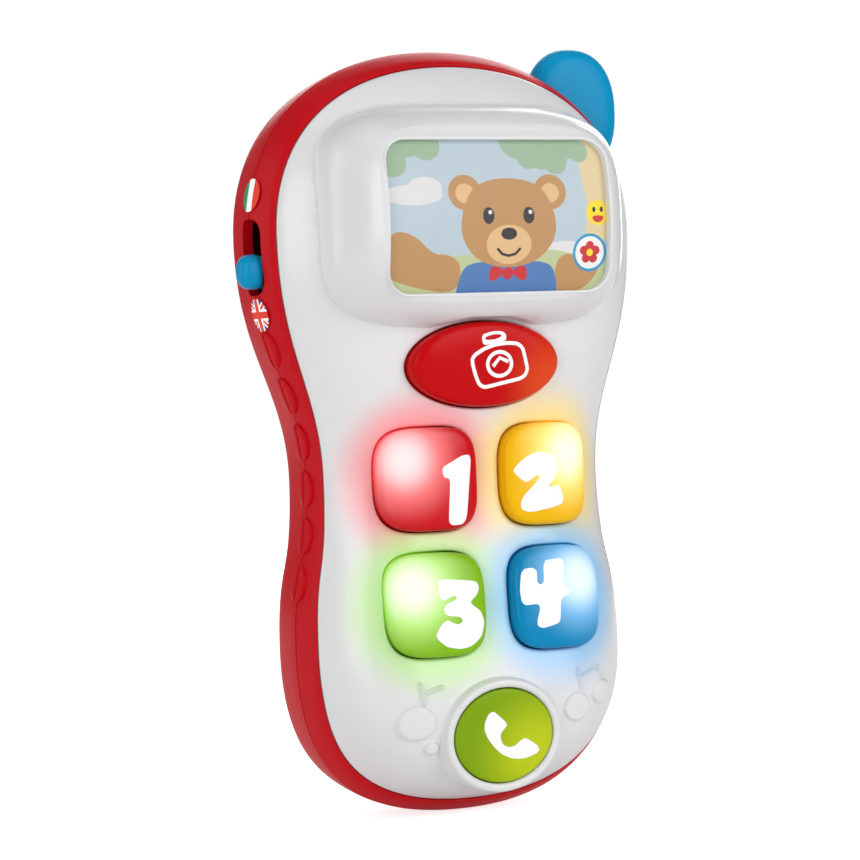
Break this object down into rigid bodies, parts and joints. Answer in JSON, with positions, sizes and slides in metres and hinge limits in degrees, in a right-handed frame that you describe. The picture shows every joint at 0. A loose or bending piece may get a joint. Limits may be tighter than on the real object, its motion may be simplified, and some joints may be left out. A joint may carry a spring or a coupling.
{
  "type": "toy cell phone",
  "caption": "Toy cell phone with a picture screen in a raised surround, light-up number keys, camera and call buttons, side slider, stub antenna and battery door.",
  "frame": {"origin": "on the flat back of the housing, on its middle line, just above the battery door", "axes": "+Z along the phone towards the antenna end, +Y out of the back, the face looks along -Y, +X to the right as the face is seen, so the antenna is at +X and the language slider at -X"},
  "size_m": [0.0975, 0.0498, 0.1707],
  "materials": {
    "red_shell": "polished red ABS",
    "red_button": "polished red ABS with a white printed icon",
    "white_face": "polished white ABS",
    "clear_window": "clear moulded window",
    "printed_card": "colour print, matt",
    "white_tray": "light-scattering white",
    "led": "clear LED lens",
    "blue_plastic": "polished blue ABS",
    "sticker": "printed paper label",
    "circuit_board": "green solder mask",
    "black_epoxy": "satin black",
    "cell_sleeve": "printed sleeve over metal",
    "steel": "plated steel",
    "magnet": "dark ferrite",
    "cone": "black film",
    "silicone": "grey silicone",
    "wire_red": "insulated wire",
    "wire_black": "insulated wire",
    "key_red": "translucent red, lit from below",
    "key_yellow": "translucent yellow, lit from below",
    "key_green": "translucent green, lit from below",
    "key_blue": "translucent blue, lit from below",
    "call_green": "polished green ABS with a white icon"
  },
  "bodies": {
    "housing": {"rear_case": "red_shell", "front_case": "red_shell", "face_plate": "white_face", "screen_window": "clear_window", "picture_card": "printed_card", "light_box": "white_tray", "screen_led": "led", "antenna": "blue_plastic", "label_upper": "sticker", "label_lower": "sticker", "main_board": "circuit_board", "chip_blob": "black_epoxy", "capacitor": "cell_sleeve", "key_led_1": "led", "key_led_2": "led", "key_led_3": "led", "key_led_4": "led", "board_screw_1": "steel", "board_screw_2": "steel", "board_screw_3": "steel", "board_screw_4": "steel", "case_screw_1": "steel", "case_screw_2": "steel", "case_screw_3": "steel", "case_screw_4": "steel", "case_screw_5": "steel", "case_screw_6": "steel", "dome_camera": "silicone", "dome_call": "silicone", "dome_1": "silicone", "dome_2": "silicone", "dome_3": "silicone", "dome_4": "silicone", "speaker_frame": "steel", "speaker_magnet": "magnet", "speaker_cone": "cone", "battery_1": "cell_sleeve", "battery_2": "cell_sleeve", "contact_spring_1": "steel", "contact_spring_2": "steel", "contact_plate_top": "steel", "contact_plate_bottom": "steel", "language_switch": "steel", "power_switch": "steel", "battery_wire_red": "wire_red", "battery_wire_black": "wire_black", "speaker_wire": "wire_red"},
    "camera_button": {"camera_button": "red_button"},
    "key_1": {"key_1": "key_red"},
    "key_2": {"key_2": "key_yellow"},
    "key_3": {"key_3": "key_green"},
    "key_4": {"key_4": "key_blue"},
    "call_button": {"call_button": "call_green"},
    "language_slider": {"language_slider": "blue_plastic", "language_switch_lever": "black_epoxy"},
    "power_slider": {"power_slider": "blue_plastic", "power_switch_lever": "black_epoxy"},
    "battery_door": {"battery_door": "red_shell", "battery_door_screw": "steel"}
  },
  "joints": [
    {"name": "camera_button_press", "type": "slide", "parent": "housing", "child": "camera_button", "axis": [0, 1, 0], "range_m": [0, 0.0018], "stiffness_N_per_m": 900, "deforming": ["dome_camera"]},
    {"name": "key_1_press", "type": "slide", "parent": "housing", "child": "key_1", "axis": [0, 1, 0], "range_m": [0, 0.0018], "stiffness_N_per_m": 900, "deforming": ["dome_1"]},
    {"name": "key_2_press", "type": "slide", "parent": "housing", "child": "key_2", "axis": [0, 1, 0], "range_m": [0, 0.0018], "stiffness_N_per_m": 900, "deforming": ["dome_2"]},
    {"name": "key_3_press", "type": "slide", "parent": "housing", "child": "key_3", "axis": [0, 1, 0], "range_m": [0, 0.0018], "stiffness_N_per_m": 900, "deforming": ["dome_3"]},
    {"name": "key_4_press", "type": "slide", "parent": "housing", "child": "key_4", "axis": [0, 1, 0], "range_m": [0, 0.0018], "stiffness_N_per_m": 900, "deforming": ["dome_4"]},
    {"name": "call_button_press", "type": "slide", "parent": "housing", "child": "call_button", "axis": [0, 1, 0], "range_m": [0, 0.0018], "stiffness_N_per_m": 900, "deforming": ["dome_call"]},
    {"name": "language_slide", "type": "slide", "parent": "housing", "child": "language_slider", "axis": [0, 0, 1], "range_m": [0, 0.0068]},
    {"name": "power_slide", "type": "slide", "parent": "housing", "child": "power_slider", "axis": [1, 0, 0], "range_m": [0, 0.0052]},
    {"name": "battery_door_lift", "type": "slide", "parent": "housing", "child": "battery_door", "axis": [0, 1, 0], "range_m": [0, 0.03]}
  ]
}
